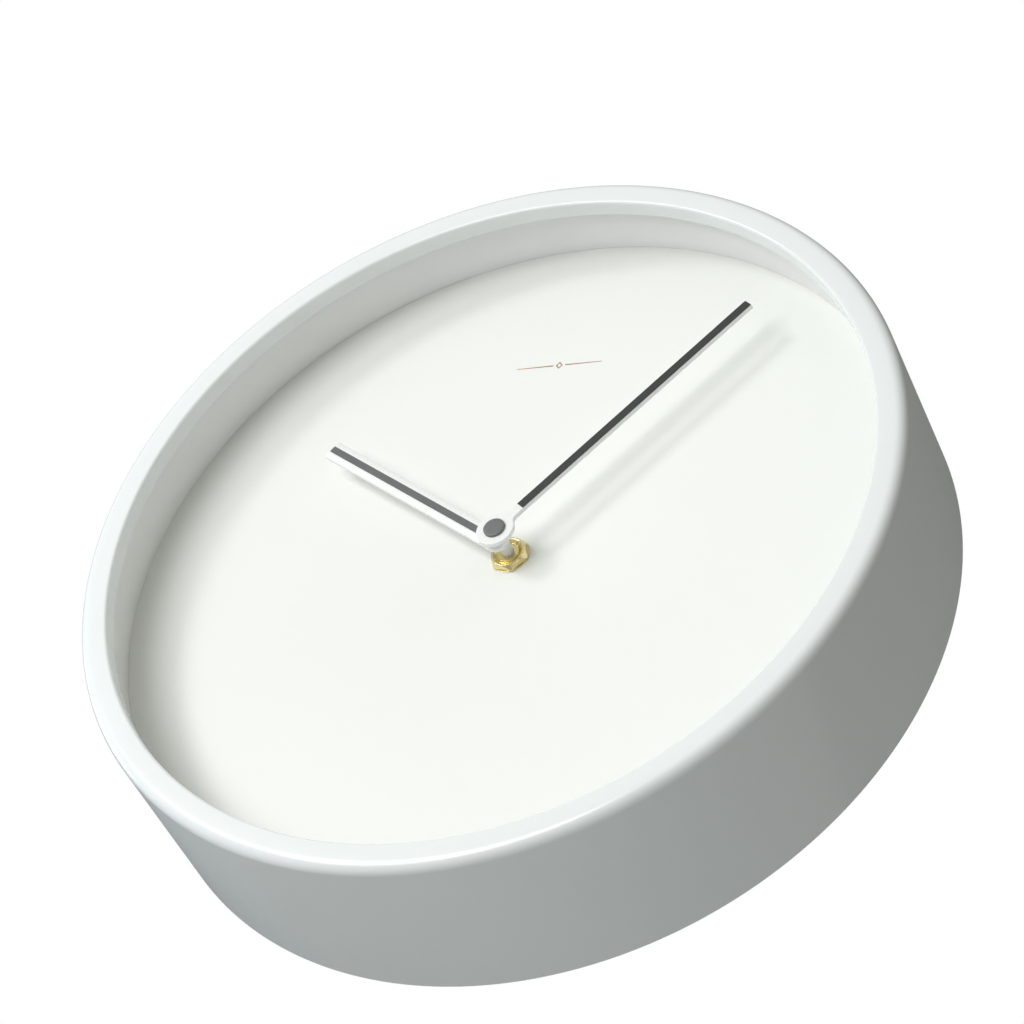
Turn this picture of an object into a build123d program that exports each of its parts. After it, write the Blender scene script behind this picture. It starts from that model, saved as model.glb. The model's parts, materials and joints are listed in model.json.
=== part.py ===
from build123d import *
import math
import os

# Round battery wall clock, in millimetres. It is drawn about the dial axis: x to the right and y up
# as the dial is seen, z out of the wall. write() then turns it so that Z is up and the front faces
# -Y, with the origin on the wall plane where the wall screw carries the keyhole.

# ---- case ----
CASE_R = 150.0            # outer radius of the case
CASE_DEPTH = 68.0         # wall plane to front rim
SHELL_WALL = 2.6
RIM_OUTER_FILLET = 4.0
RIM_INNER_FILLET = 1.2
LIP_OVERHANG = 5.2        # how far the rim reaches in past the dial's wall
LIP_DEPTH = 6.5           # rim plane to the lens
SLIP = 0.2                # radial clearance of what slides into the shell
FACE_GAP = 0.1            # clearance of the lens ring's seal in its groove

LENS_T = 2.0
CAP_TO_LENS = 4.4         # clear space in front of the centre cap
DIAL_FACE_T = 0.4
DIAL_PLATE_T = 2.6
COVER_RECESS = 1.5        # wall plane to the back cover
COVER_T = 2.5
RING_WALL = 2.6           # wall of the spacer ring and of the rear sleeve
SNAP_H = 2.0              # snap ridge on the rear sleeve
SNAP_R = 0.7
SNAP_ABOVE_COVER = 4.0
ACCESS_R = 50.0           # opening in the back cover, over the movement

# ---- hanging ----
HANG_IN = 38.0            # top of the case down to the wall screw's seat
SLOT_W = 4.5
ENTRY_R = 4.5
SLOT_DROP = 9.0           # seat down to the centre of the entry hole
HANGER_W = 40.0
HANGER_H = 36.0
HANGER_T = 1.2
HEAD_ROOM = 1.5           # cover's pocket past the entry hole
RIVET_R = 1.5
RIVET_HEAD_R = 2.6
RIVET_HEAD_T = 0.8
RIVET_EDGE = 5.0
BUMPER_R = 6.0
BUMPER_IN = 25.5          # edge of the case in to a bumper
BUMPER_SPREAD = 30.0      # angle of each bumper from straight down

COVER_SCREWS = 4
SCREW_R = 1.25
SCREW_L = 8.0
SCREW_HEAD_R = 2.9
SCREW_HEAD_T = 1.2
SCREW_SLOT = 0.5
BOSS_R = 3.8
BOSS_H = 9.0
HOLE_SLIP = 0.3

# ---- hands ----
MINUTE_ANGLE = -39.0      # clockwise from twelve is negative about z
HOUR_ANGLE = MINUTE_ANGLE / 12 - 300
MINUTE_SHORT = 23.2       # hand tip to the dial's wall
MINUTE_W = 3.65
MINUTE_HUB_R = 6.9
NECK_R = 3.0              # fillet where the minute hand leaves its hub
MINUTE_STRIPE_FROM = 12.0
HOUR_SHORT = 54.4
HOUR_W = 7.6
HOUR_ASIDE = 1.6          # the hour hand's centre line passes this far beside the dial axis
HOUR_STRIPE_W = 2.65
HOUR_STRIPE_FROM = 3.5
HOUR_ABOVE_DIAL = 9.0
HANDS_APART = 2.9         # hour hand's front to minute hand's back
HAND_T = 1.8
STRIPE_T = 0.12
TIP_R = 0.4
COLLAR_WALL = 0.9
COLLAR_GAP = 1.2          # end of the hour pipe to the minute hand's collar
HOUR_COLLAR_H = 1.0
CAP_R = 3.9
CAP_T = 1.0
CAP_ROUND = 0.6

# ---- centre shafts ----
SHAFT_R = 1.2
PIPE_WALL = 0.85
RUN = 0.05                # radial running clearance
SEAT = 0.02               # radial clearance of a hand pushed on its seat
BUSH_R = 4.0
BUSH_FLANGE_R = 6.0
BUSH_FLANGE_T = 0.7
BUSH_BELOW_NUT = 0.5
NUT_FLATS = 12.7
NUT_H = 2.7
NUT_CROWN = 1.2           # taken off the corners' radius at the front
NUT_CROWN_H = 2.3
NUT_TURN = 46.8           # angle of one corner
NUT_SINK_R = 5.45
NUT_SINK = 1.2
WASHER_R = 6.8
WASHER_T = 0.4
SEAL_R = 12.0
SEAL_T = 1.0

# ---- movement case ----
MOV_WALL = 1.5
MOV_TOP_MIN = 20.0        # dial axis up to the movement's top, if the train leaves room
TRAIN_SPACE = 0.5         # movement wall to the nearest wheel
MOV_ROUND = 3.0
BAY_TOP = -19.0           # top of the battery bay
PEG_R = 1.0

# ---- battery ----
CELL_R = 7.0
CELL_L = 50.2
CELL_NUB_R = 2.6
CELL_NUB_L = 0.9
CELL_CAP_L = 1.2
CELL_GAP = 0.2
CELL_SIDE = 0.75          # bay wall to the cell, above and below it
CELL_FRONT = 0.1          # movement plate to the cell
CELL_SUNK = 0.4           # cell to the open face of the bay
CONTACT_BACK = 0.9        # contact to the bay's end wall
CONTACT_T = 0.3
CONTACT_W = 9.0

# ---- gear train: teeth, modules and the layer each mesh lies in ----
PRESSURE = 20.0
BACKLASH = 0.10
ADD_PINION = 0.8
ADD_WHEEL = 0.7
DEDENDUM = 1.25
CANNON_T, MOTION_T, MOTION_PINION_T, HOUR_T, KNOB_T = 10, 30, 8, 32, 14
CENTRE_T, THIRD_PINION_T, THIRD_T, SECONDS_PINION_T = 60, 8, 64, 8
SECONDS_T, STEP_PINION_T, STEP_T, ROTOR_T = 50, 10, 48, 8
M_MOTION = 0.5
M_TRAIN = 0.3
M_STEP = 0.25
WHEEL_T = 0.8
PINION_EXTRA = 0.1        # a pinion stands this far past its wheel on each side
LAYER = 1.7               # one mesh layer to the next
ARBOR_R = 0.6
PIVOT_R = 0.5
PIVOT_IN = 0.6
POST_R = 0.6
KNOB_SHAFT_R = 1.5
KNOB_R = 5.0
KNOB_H = 3.2
KNOB_GAP = 0.4
KNOB_FLUTES = 18
MOTION_AT, THIRD_AT, SECONDS_AT, STEP_AT, ROTOR_AT, KNOB_AT = 150, -20, 60, 150, 150, 180

# ---- motor and board ----
MAGNET_R = 3.0
MAGNET_T = 2.4
STATOR_T = 0.8
STATOR_GAP = 0.4
STATOR_LIMB = 2.4
COIL_L = 16.0
COIL_R = 3.2
BOBBIN_R = 1.7
FLANGE_R = 3.45
FLANGE_T = 0.8
CORE_W = 2.0
BOARD_W = 22.0
BOARD_H = 15.0
BOARD_T = 1.0
CHIP_R = 2.6
CHIP_T = 1.0
CRYSTAL_R = 1.0
CRYSTAL_L = 6.0

# ---- places worked out from the sizes above ----
RIM = CASE_DEPTH
LENS_FRONT = RIM - LIP_DEPTH
LENS_BACK = LENS_FRONT - LENS_T
CAP_HEIGHT = HOUR_ABOVE_DIAL + HAND_T + HANDS_APART + HAND_T + CAP_T
DIAL = LENS_BACK - CAP_TO_LENS - CAP_HEIGHT
PLATE_FRONT = DIAL - DIAL_FACE_T
PLATE_BACK = PLATE_FRONT - DIAL_PLATE_T
COVER_FRONT = COVER_RECESS + COVER_T
SHELL_BORE = CASE_R - SHELL_WALL
DISC_R = SHELL_BORE - SLIP
RING_BORE = DISC_R - RING_WALL
LIP_R = RING_BORE - LIP_OVERHANG
BOSS_AT = RING_BORE - BOSS_R - 1.0
MOV_FRONT = PLATE_BACK - SEAL_T
MOV_DEPTH = MOV_WALL + CELL_FRONT + 2 * CELL_R + CELL_SUNK
MOV_BOTTOM = BAY_TOP - 2 * (CELL_R + CELL_SIDE) - MOV_WALL
MOV_BACK = MOV_FRONT - MOV_DEPTH
INNER_FRONT = MOV_FRONT - MOV_WALL
INNER_BACK = MOV_BACK + MOV_WALL
PIPE_BORE = SHAFT_R + RUN
PIPE_R = PIPE_BORE + PIPE_WALL
BUSH_BORE = PIPE_R + RUN
NUT_BACK = DIAL + WASHER_T
BUSH_TOP = NUT_BACK + NUT_H - BUSH_BELOW_NUT
HOUR_BACK = DIAL + HOUR_ABOVE_DIAL
MINUTE_BACK = HOUR_BACK + HAND_T + HANDS_APART
MINUTE_COLLAR_H = HANDS_APART - COLLAR_GAP
MINUTE_REACH = RING_BORE - MINUTE_SHORT
HOUR_REACH = RING_BORE - HOUR_SHORT
HANG_UP = CASE_R - HANG_IN
HOUR_LAYER = INNER_FRONT - BUSH_FLANGE_T - WHEEL_T - 0.3
MOTION_LAYER = HOUR_LAYER - LAYER
CENTRE_LAYER = MOTION_LAYER - LAYER
THIRD_LAYER = CENTRE_LAYER - LAYER
SECONDS_LAYER = THIRD_LAYER - LAYER
STEP_LAYER = SECONDS_LAYER - LAYER
CELL_Y = BAY_TOP - CELL_SIDE - CELL_R
CELL_Z = INNER_FRONT - CELL_FRONT - CELL_R
CONTACT_X = CELL_L / 2 + CELL_GAP


def polar(radius, degrees, start=(0, 0)):
    """Point at a radius and an angle from a start point."""
    turn = math.radians(degrees)
    return (start[0] + radius * math.cos(turn), start[1] + radius * math.sin(turn))


def disc(radius, low, high, at=(0, 0)):
    """Solid cylinder along z between two heights."""
    return Pos(at[0], at[1], low) * extrude(Circle(radius), high - low)


def ring(inner, outer, low, high, at=(0, 0)):
    """Tube along z between two heights."""
    return Pos(at[0], at[1], low) * extrude(Circle(outer) - Circle(inner), high - low)


def block(x0, x1, y0, y1, z0, z1):
    """Box between two corners."""
    centre = Pos((x0 + x1) / 2, (y0 + y1) / 2, (z0 + z1) / 2)
    return centre * Box(x1 - x0, y1 - y0, z1 - z0)


def tooth_angle(radius, base_r, half):
    """Half the angle that a tooth spans at a radius."""
    def involute(angle):
        return math.tan(angle) - angle
    at_radius = math.acos(min(1.0, base_r / radius))
    return half + involute(math.radians(PRESSURE)) - involute(at_radius)


def gear(teeth, module, low, high, at=(0, 0), first=0.0, wheel=True):
    """Spur gear with slim involute teeth; first is the angle of one tooth, in degrees."""
    pitch_r = module * teeth / 2
    base_r = pitch_r * math.cos(math.radians(PRESSURE))
    tip_r = pitch_r + (ADD_WHEEL if wheel else ADD_PINION) * module
    root_r = pitch_r - DEDENDUM * module
    half = math.pi / (2 * teeth) - BACKLASH / (2 * pitch_r)
    radii = [max(base_r, root_r), pitch_r, (pitch_r + tip_r) / 2, tip_r]
    flank = [(r, tooth_angle(r, base_r, half)) for r in radii]
    if root_r < base_r:
        flank.insert(0, (root_r, flank[0][1]))
    points = []
    for tooth in range(teeth):
        middle = first + 360 * tooth / teeth
        points += [polar(r, middle - math.degrees(a)) for r, a in flank]
        points += [polar(r, middle + math.degrees(a)) for r, a in reversed(flank)]
    outline = make_face(Polyline(*points, close=True))
    return Pos(at[0], at[1], low) * extrude(outline, high - low)


def mesh_angle(teeth_a, first_a, teeth_b, direction):
    """Angle of a tooth of gear b that puts it in mesh with gear a, which lies behind direction."""
    pitch_a = 360 / teeth_a
    pitch_b = 360 / teeth_b
    part = ((direction - first_a) / pitch_a) % 1
    return direction + 180 - (0.5 - part) * pitch_b


def centres(teeth_a, teeth_b, module):
    return module * (teeth_a + teeth_b) / 2


# ---- axes of the train ----
CENTRE = (0.0, 0.0)
MOTION = polar(centres(CANNON_T, MOTION_T, M_MOTION), MOTION_AT)
KNOB = polar(centres(MOTION_T, KNOB_T, M_MOTION), KNOB_AT, MOTION)
THIRD = polar(centres(CENTRE_T, THIRD_PINION_T, M_TRAIN), THIRD_AT)
SECONDS = polar(centres(THIRD_T, SECONDS_PINION_T, M_TRAIN), SECONDS_AT, THIRD)
STEP = polar(centres(SECONDS_T, STEP_PINION_T, M_TRAIN), STEP_AT, SECONDS)
ROTOR = polar(centres(STEP_T, ROTOR_T, M_STEP), ROTOR_AT, STEP)
WHEELS = [(MOTION, MOTION_T, M_MOTION), (KNOB, KNOB_T, M_MOTION), (CENTRE, HOUR_T, M_MOTION),
          (CENTRE, CENTRE_T, M_TRAIN), (THIRD, THIRD_T, M_TRAIN), (SECONDS, SECONDS_T, M_TRAIN),
          (STEP, STEP_T, M_STEP)]
TRAIN_HALF = max(abs(at[0]) + module * (teeth / 2 + 1) for at, teeth, module in WHEELS)
TRAIN_TOP = max(at[1] + module * (teeth / 2 + 1) for at, teeth, module in WHEELS)
BAY_HALF = CONTACT_X + CONTACT_T + CONTACT_BACK
MOV_W = 2 * (max(BAY_HALF, TRAIN_HALF + TRAIN_SPACE) + MOV_WALL)
MOV_TOP = max(MOV_TOP_MIN, TRAIN_TOP + TRAIN_SPACE + MOV_WALL)
STATOR_Z = SECONDS_LAYER + WHEEL_T + 0.4
COIL_Z = STATOR_Z + STATOR_T / 2
COIL_Y = MOV_TOP - MOV_WALL - FLANGE_R - 0.1
COIL_X = ROTOR[0] - MAGNET_R - STATOR_GAP - STATOR_LIMB - COIL_L / 2
BOARD_X = -CONTACT_X - 0.2
BOARD_Y = BAY_TOP + MOV_WALL + 0.8
BOARD_Z = STEP_LAYER


def case_shell():
    """Outer shell with its rolled front rim, the lip's skirt and the snap groove."""
    skirt_r = LIP_R + SHELL_WALL
    corners = [(CASE_R, 0), (CASE_R, RIM), (LIP_R, RIM), (LIP_R, LENS_FRONT), (skirt_r, LENS_FRONT),
               (skirt_r, RIM - SHELL_WALL), (SHELL_BORE, RIM - SHELL_WALL), (SHELL_BORE, 0)]
    outline = make_face(Polyline(*corners, close=True))
    outline = round_corner(outline, corners[1], RIM_OUTER_FILLET)
    outline = round_corner(outline, corners[2], min(RIM_INNER_FILLET, SHELL_WALL * 0.45))
    shell = revolve(Plane.XZ * outline, Axis.Z)
    low = COVER_FRONT + SNAP_ABOVE_COVER
    return shell - disc(DISC_R + SNAP_R + FACE_GAP, low - FACE_GAP, low + SNAP_H + FACE_GAP)


def round_corner(face, corner, radius):
    """Fillet the one corner of a flat face that lies at a point."""
    near = face.vertices().sort_by_distance((corner[0], corner[1], 0))[0]
    return fillet(near, radius)


def lens_gasket():
    """Foam ring in the rim's groove, pressed on by the lens."""
    inner = LIP_R + SHELL_WALL + FACE_GAP
    return ring(inner, SHELL_BORE - FACE_GAP, LENS_FRONT, RIM - SHELL_WALL)


def rear_sleeve():
    """Sleeve that holds the dial forward, with the cover's screw bosses and the snap ridge."""
    body = ring(RING_BORE, DISC_R, COVER_FRONT, PLATE_BACK)
    low = COVER_FRONT + SNAP_ABOVE_COVER
    body += ring(RING_BORE, DISC_R + SNAP_R, low, low + SNAP_H)
    for n in range(COVER_SCREWS):
        turn = Rot(0, 0, screw_turn(n))
        body += turn * disc(BOSS_R, COVER_FRONT, COVER_FRONT + BOSS_H, (BOSS_AT, 0))
        web = block(BOSS_AT, RING_BORE + RING_WALL / 2, -BOSS_R / 2, BOSS_R / 2,
                    COVER_FRONT, COVER_FRONT + BOSS_H)
        body += turn * web
        body -= turn * disc(SCREW_R, COVER_FRONT, COVER_FRONT + SCREW_L, (BOSS_AT, 0))
    return body


def screw_turn(n):
    return 45 + n * 360 / COVER_SCREWS


def keyhole(entry_r, slot_w, low, high):
    """Cutter for the keyhole: an entry hole with a slot up to the screw's seat."""
    seat = (0, HANG_UP)
    entry = (0, HANG_UP - SLOT_DROP)
    slot = block(-slot_w / 2, slot_w / 2, entry[1], seat[1], low, high)
    return disc(entry_r, low, high, entry) + disc(slot_w / 2, low, high, seat) + slot


def rivet_spots():
    x = HANGER_W / 2 - RIVET_EDGE
    return [(side * x, HANG_UP - SLOT_DROP / 2) for side in (-1, 1)]


def back_cover():
    """Flat rear cover with the movement's access opening and room for the wall screw's head."""
    body = disc(DISC_R, COVER_RECESS, COVER_FRONT)
    body -= disc(ACCESS_R, COVER_RECESS, COVER_FRONT)
    head = ENTRY_R + HEAD_ROOM
    body -= keyhole(head, 2 * head, COVER_RECESS, COVER_FRONT)
    for n in range(COVER_SCREWS):
        body -= Rot(0, 0, screw_turn(n)) * disc(SCREW_R + HOLE_SLIP, COVER_RECESS, COVER_FRONT, (BOSS_AT, 0))
    for spot in rivet_spots():
        body -= disc(RIVET_R, COVER_RECESS, COVER_FRONT, spot)
    return body


def cover_screws():
    """Pan-head screws that hold the back cover to the sleeve."""
    low = COVER_RECESS - SCREW_HEAD_T
    one = disc(SCREW_HEAD_R, low, COVER_RECESS, (BOSS_AT, 0))
    one += disc(SCREW_R, COVER_RECESS, COVER_FRONT + SCREW_L - 1, (BOSS_AT, 0))
    for turn in (0, 90):
        cross = Box(2 * SCREW_HEAD_R * 0.6, SCREW_SLOT, SCREW_SLOT)
        one -= Pos(BOSS_AT, 0, low + SCREW_SLOT / 2) * Rot(0, 0, turn) * cross
    return [Rot(0, 0, screw_turn(n)) * one for n in range(COVER_SCREWS)]


def hanger_plate():
    """Steel plate with the keyhole, riveted on the back cover."""
    low = COVER_RECESS - HANGER_T
    flat = RectangleRounded(HANGER_W, HANGER_H, RIVET_HEAD_R)
    body = Pos(0, HANG_UP - SLOT_DROP / 2, low) * extrude(flat, HANGER_T)
    body -= keyhole(ENTRY_R, SLOT_W, low, COVER_RECESS)
    for spot in rivet_spots():
        body -= disc(RIVET_R, low, COVER_RECESS, spot)
    return body


def hanger_rivets():
    """Flush rivets through the hanger plate and the cover."""
    low = COVER_RECESS - HANGER_T
    rivets = []
    for spot in rivet_spots():
        shank = disc(RIVET_R, low, COVER_FRONT, spot)
        rivets.append(shank + disc(RIVET_HEAD_R, COVER_FRONT, COVER_FRONT + RIVET_HEAD_T, spot))
    return rivets


def wall_bumpers():
    spots = [polar(CASE_R - BUMPER_IN, side * BUMPER_SPREAD - 90) for side in (-1, 1)]
    return [disc(BUMPER_R, 0, COVER_RECESS, spot) for spot in spots]


def mounting_nut():
    """Hexagonal nut with a long chamfer round its corners and a countersunk mouth."""
    hexagon = RegularPolygon(NUT_FLATS / 2, 6, major_radius=False)
    body = Pos(0, 0, NUT_BACK) * extrude(hexagon, NUT_H)
    top = NUT_BACK + NUT_H
    corner = NUT_FLATS / math.sqrt(3)
    trim = Pos(0, 0, top - NUT_CROWN_H / 2) * Cone(corner, corner - NUT_CROWN, NUT_CROWN_H)
    body &= disc(corner, NUT_BACK, top - NUT_CROWN_H) + trim
    body -= disc(BUSH_R + RUN, NUT_BACK, top)
    body -= Pos(0, 0, top - NUT_SINK / 2) * Cone(BUSH_R + RUN, NUT_SINK_R, NUT_SINK)
    return Rot(0, 0, NUT_TURN) * body


def threaded_bushing():
    """Brass bushing through the dial, with its flange inside the movement."""
    body = disc(BUSH_R, INNER_FRONT, BUSH_TOP)
    body += disc(BUSH_FLANGE_R, INNER_FRONT - BUSH_FLANGE_T, INNER_FRONT)
    return body - disc(BUSH_BORE, INNER_FRONT - BUSH_FLANGE_T, BUSH_TOP)


def strip(start, reach, width):
    """Outline of a straight strip that points up, with its tip's corners rounded."""
    flat = Pos(0, start) * Rectangle(width, reach - start, align=(Align.CENTER, Align.MIN))
    return fillet(flat.vertices().sort_by(Axis.Y)[-2:], min(TIP_R, width * 0.4))


def minute_hand():
    """Straight hand with a round hub, filleted into its neck."""
    outline = strip(0, MINUTE_REACH, MINUTE_W) + Circle(MINUTE_HUB_R)
    neck = (0, MINUTE_HUB_R, 0)
    outline = fillet(outline.vertices().sort_by_distance(neck)[:2], NECK_R)
    body = Pos(0, 0, MINUTE_BACK) * extrude(outline, HAND_T)
    body += disc(SHAFT_R + COLLAR_WALL, MINUTE_BACK - MINUTE_COLLAR_H, MINUTE_BACK)
    body -= disc(SHAFT_R + SEAT, MINUTE_BACK - MINUTE_COLLAR_H, MINUTE_BACK + HAND_T)
    return Rot(0, 0, MINUTE_ANGLE) * body


def minute_hand_stripe():
    """Dark strip laid on the minute hand."""
    outline = strip(MINUTE_STRIPE_FROM, MINUTE_REACH, MINUTE_W)
    return Rot(0, 0, MINUTE_ANGLE) * Pos(0, 0, MINUTE_BACK + HAND_T) * extrude(outline, STRIPE_T)


def hour_hand():
    """Broad straight bar with a round root, bored a little to one side of its centre line."""
    outline = Pos(-HOUR_ASIDE, 0) * (strip(0, HOUR_REACH, HOUR_W) + Circle(HOUR_W / 2))
    body = Pos(0, 0, HOUR_BACK) * extrude(outline, HAND_T)
    body += disc(PIPE_R + COLLAR_WALL / 2, HOUR_BACK - HOUR_COLLAR_H, HOUR_BACK)
    body -= disc(PIPE_R + SEAT, HOUR_BACK - HOUR_COLLAR_H, HOUR_BACK + HAND_T)
    return Rot(0, 0, HOUR_ANGLE) * body


def hour_hand_stripe():
    """Dark strip along the middle of the hour hand."""
    outline = Pos(-HOUR_ASIDE, 0) * strip(HOUR_STRIPE_FROM, HOUR_REACH, HOUR_STRIPE_W)
    return Rot(0, 0, HOUR_ANGLE) * Pos(0, 0, HOUR_BACK + HAND_T) * extrude(outline, STRIPE_T)


def centre_cap():
    """Domed push-on cap over the shaft's end."""
    low = MINUTE_BACK + HAND_T
    body = disc(CAP_R, low, low + CAP_T)
    return fillet(body.edges().sort_by(Axis.Z)[-1], min(CAP_ROUND, CAP_T * 0.8))


def minute_shaft():
    """Steel shaft with the cannon pinion that drives the motion work."""
    body = disc(SHAFT_R, CENTRE_LAYER - 0.4, MINUTE_BACK + HAND_T)
    return body + pinion(CANNON_T, M_MOTION, MOTION_LAYER, CENTRE, CANNON_FIRST)


def pinion(teeth, module, layer, at, first):
    low = layer - PINION_EXTRA
    return gear(teeth, module, low, layer + WHEEL_T + PINION_EXTRA, at, first, wheel=False)


def wheel(teeth, module, layer, at, first):
    return gear(teeth, module, layer, layer + WHEEL_T, at, first)


def arbor(at):
    """Arbor with a thin pivot at each end, turning in the movement's two plates."""
    shoulder_low = INNER_BACK + 0.2
    shoulder_high = INNER_FRONT - 0.2
    pivots = disc(PIVOT_R, INNER_BACK - PIVOT_IN, INNER_FRONT + PIVOT_IN, at)
    return disc(ARBOR_R, shoulder_low, shoulder_high, at) + pivots


# ---- a tooth's angle on each gear, worked out along the two trains ----
CANNON_FIRST = 90.0
MOTION_FIRST = mesh_angle(CANNON_T, CANNON_FIRST, MOTION_T, MOTION_AT)
MOTION_PINION_FIRST = MOTION_FIRST
HOUR_FIRST = mesh_angle(MOTION_PINION_T, MOTION_PINION_FIRST, HOUR_T, MOTION_AT + 180)
KNOB_FIRST = mesh_angle(MOTION_T, MOTION_FIRST, KNOB_T, KNOB_AT)
CENTRE_FIRST = 0.0
THIRD_PINION_FIRST = mesh_angle(CENTRE_T, CENTRE_FIRST, THIRD_PINION_T, THIRD_AT)
THIRD_FIRST = THIRD_PINION_FIRST
SECONDS_PINION_FIRST = mesh_angle(THIRD_T, THIRD_FIRST, SECONDS_PINION_T, SECONDS_AT)
SECONDS_FIRST = SECONDS_PINION_FIRST
STEP_PINION_FIRST = mesh_angle(SECONDS_T, SECONDS_FIRST, STEP_PINION_T, STEP_AT)
STEP_FIRST = STEP_PINION_FIRST
ROTOR_FIRST = mesh_angle(STEP_T, STEP_FIRST, ROTOR_T, ROTOR_AT)


def hour_wheel():
    """Hour wheel with the pipe that carries the hour hand."""
    body = wheel(HOUR_T, M_MOTION, HOUR_LAYER, CENTRE, HOUR_FIRST)
    body += disc(PIPE_R, HOUR_LAYER, HOUR_BACK + HAND_T)
    return body - disc(PIPE_BORE, HOUR_LAYER, HOUR_BACK + HAND_T)


def minute_wheel():
    """Motion wheel and its pinion, which turn on a post of the movement's front plate."""
    body = wheel(MOTION_T, M_MOTION, MOTION_LAYER, MOTION, MOTION_FIRST)
    body += disc(POST_R + COLLAR_WALL / 2, MOTION_LAYER, HOUR_LAYER, MOTION)
    body += pinion(MOTION_PINION_T, M_MOTION, HOUR_LAYER, MOTION, MOTION_PINION_FIRST)
    return body - disc(POST_R + RUN, MOTION_LAYER - PINION_EXTRA, INNER_FRONT, MOTION)


def setting_knob():
    """Fluted knob behind the movement, with the pinion that sets the hands."""
    high = MOV_BACK - KNOB_GAP
    grip = disc(KNOB_R, high - KNOB_H, high, KNOB)
    for n in range(KNOB_FLUTES):
        grip -= disc(0.45, high - KNOB_H, high, polar(KNOB_R, n * 360 / KNOB_FLUTES, KNOB))
    shaft = disc(KNOB_SHAFT_R, high, MOTION_LAYER, KNOB)
    shaft += disc(PIVOT_R, MOTION_LAYER, INNER_FRONT + PIVOT_IN, KNOB)
    return grip + shaft + pinion(KNOB_T, M_MOTION, MOTION_LAYER, KNOB, KNOB_FIRST)


def centre_wheel():
    """Centre wheel, a friction fit on the minute shaft in the real clock."""
    body = wheel(CENTRE_T, M_TRAIN, CENTRE_LAYER, CENTRE, CENTRE_FIRST)
    body += disc(SHAFT_R + 1.0, CENTRE_LAYER, CENTRE_LAYER + WHEEL_T + 0.4)
    return body - disc(PIPE_BORE, CENTRE_LAYER - 1, CENTRE_LAYER + LAYER)


def third_wheel():
    body = arbor(THIRD) + wheel(THIRD_T, M_TRAIN, THIRD_LAYER, THIRD, THIRD_FIRST)
    return body + pinion(THIRD_PINION_T, M_TRAIN, CENTRE_LAYER, THIRD, THIRD_PINION_FIRST)


def seconds_wheel():
    body = arbor(SECONDS) + wheel(SECONDS_T, M_TRAIN, SECONDS_LAYER, SECONDS, SECONDS_FIRST)
    return body + pinion(SECONDS_PINION_T, M_TRAIN, THIRD_LAYER, SECONDS, SECONDS_PINION_FIRST)


def intermediate_wheel():
    body = arbor(STEP) + wheel(STEP_T, M_STEP, STEP_LAYER, STEP, STEP_FIRST)
    return body + pinion(STEP_PINION_T, M_TRAIN, SECONDS_LAYER, STEP, STEP_PINION_FIRST)


def rotor_pinion():
    return arbor(ROTOR) + pinion(ROTOR_T, M_STEP, STEP_LAYER, ROTOR, ROTOR_FIRST)


def magnet_span():
    return COIL_Z - MAGNET_T / 2, COIL_Z + MAGNET_T / 2


def rotor_magnet():
    return ring(ARBOR_R, MAGNET_R, *magnet_span(), ROTOR)


def stator_plate():
    """Laminated plate round the rotor, with the core that runs through the coil."""
    left = COIL_X - COIL_L / 2
    right = COIL_X + COIL_L / 2
    high = STATOR_Z + STATOR_T
    hole = MAGNET_R + STATOR_GAP
    end = ROTOR[0] + hole + 1.0
    bottom = COIL_Y - FLANGE_R - 0.2
    frame = block(left - STATOR_LIMB, end, bottom - STATOR_LIMB, MOV_TOP - MOV_WALL - 0.2, STATOR_Z, high)
    frame -= block(left, right, bottom, MOV_TOP, STATOR_Z, high)
    frame += block(left - 1, right + 1, COIL_Y - CORE_W / 2, COIL_Y + CORE_W / 2, STATOR_Z, high)
    return frame - disc(hole, STATOR_Z, high, ROTOR)


def along_x(radius, x0, x1, y, z):
    """Cylinder along x."""
    return Pos((x0 + x1) / 2, y, z) * Rot(0, 90, 0) * Cylinder(radius, x1 - x0)


def core_slot():
    length = COIL_L + 4
    return Pos(COIL_X, COIL_Y, COIL_Z) * Box(length, CORE_W + 0.1, STATOR_T + 0.1)


def coil_bobbin():
    left = COIL_X - COIL_L / 2 + 0.1
    right = COIL_X + COIL_L / 2 - 0.1
    body = along_x(BOBBIN_R, left, right, COIL_Y, COIL_Z)
    body += along_x(FLANGE_R, left, left + FLANGE_T, COIL_Y, COIL_Z)
    body += along_x(FLANGE_R, right - FLANGE_T, right, COIL_Y, COIL_Z)
    return body - core_slot()


def coil_winding():
    left = COIL_X - COIL_L / 2 + 0.1 + FLANGE_T
    right = COIL_X + COIL_L / 2 - 0.1 - FLANGE_T
    return along_x(COIL_R, left, right, COIL_Y, COIL_Z) - along_x(BOBBIN_R, left, right, COIL_Y, COIL_Z)


def board_posts():
    x = (BOARD_X + 1.5, BOARD_X + BOARD_W - 1.5)
    return [(px, BOARD_Y + 1.5) for px in x]


def circuit_board():
    return block(BOARD_X, BOARD_X + BOARD_W, BOARD_Y, BOARD_Y + BOARD_H, BOARD_Z, BOARD_Z + BOARD_T)


def chip_spot():
    return (BOARD_X + BOARD_W * 0.6, BOARD_Y + BOARD_H * 0.6)


def ic_chip():
    body = disc(CHIP_R, BOARD_Z + BOARD_T, BOARD_Z + BOARD_T + CHIP_T, chip_spot())
    return fillet(body.edges().sort_by(Axis.Z)[-1], CHIP_T * 0.6)


def quartz_crystal():
    x = BOARD_X + 3
    return along_x(CRYSTAL_R, x, x + CRYSTAL_L, BOARD_Y + BOARD_H * 0.6, BOARD_Z + BOARD_T + CRYSTAL_R)


def movement_outline(inset=0.0):
    """Rounded outline of the movement, less an inset all round."""
    height = MOV_TOP - MOV_BOTTOM
    flat = RectangleRounded(MOV_W - 2 * inset, height - 2 * inset, MOV_ROUND - inset)
    return Pos(0, (MOV_TOP + MOV_BOTTOM) / 2, 0) * flat


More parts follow.
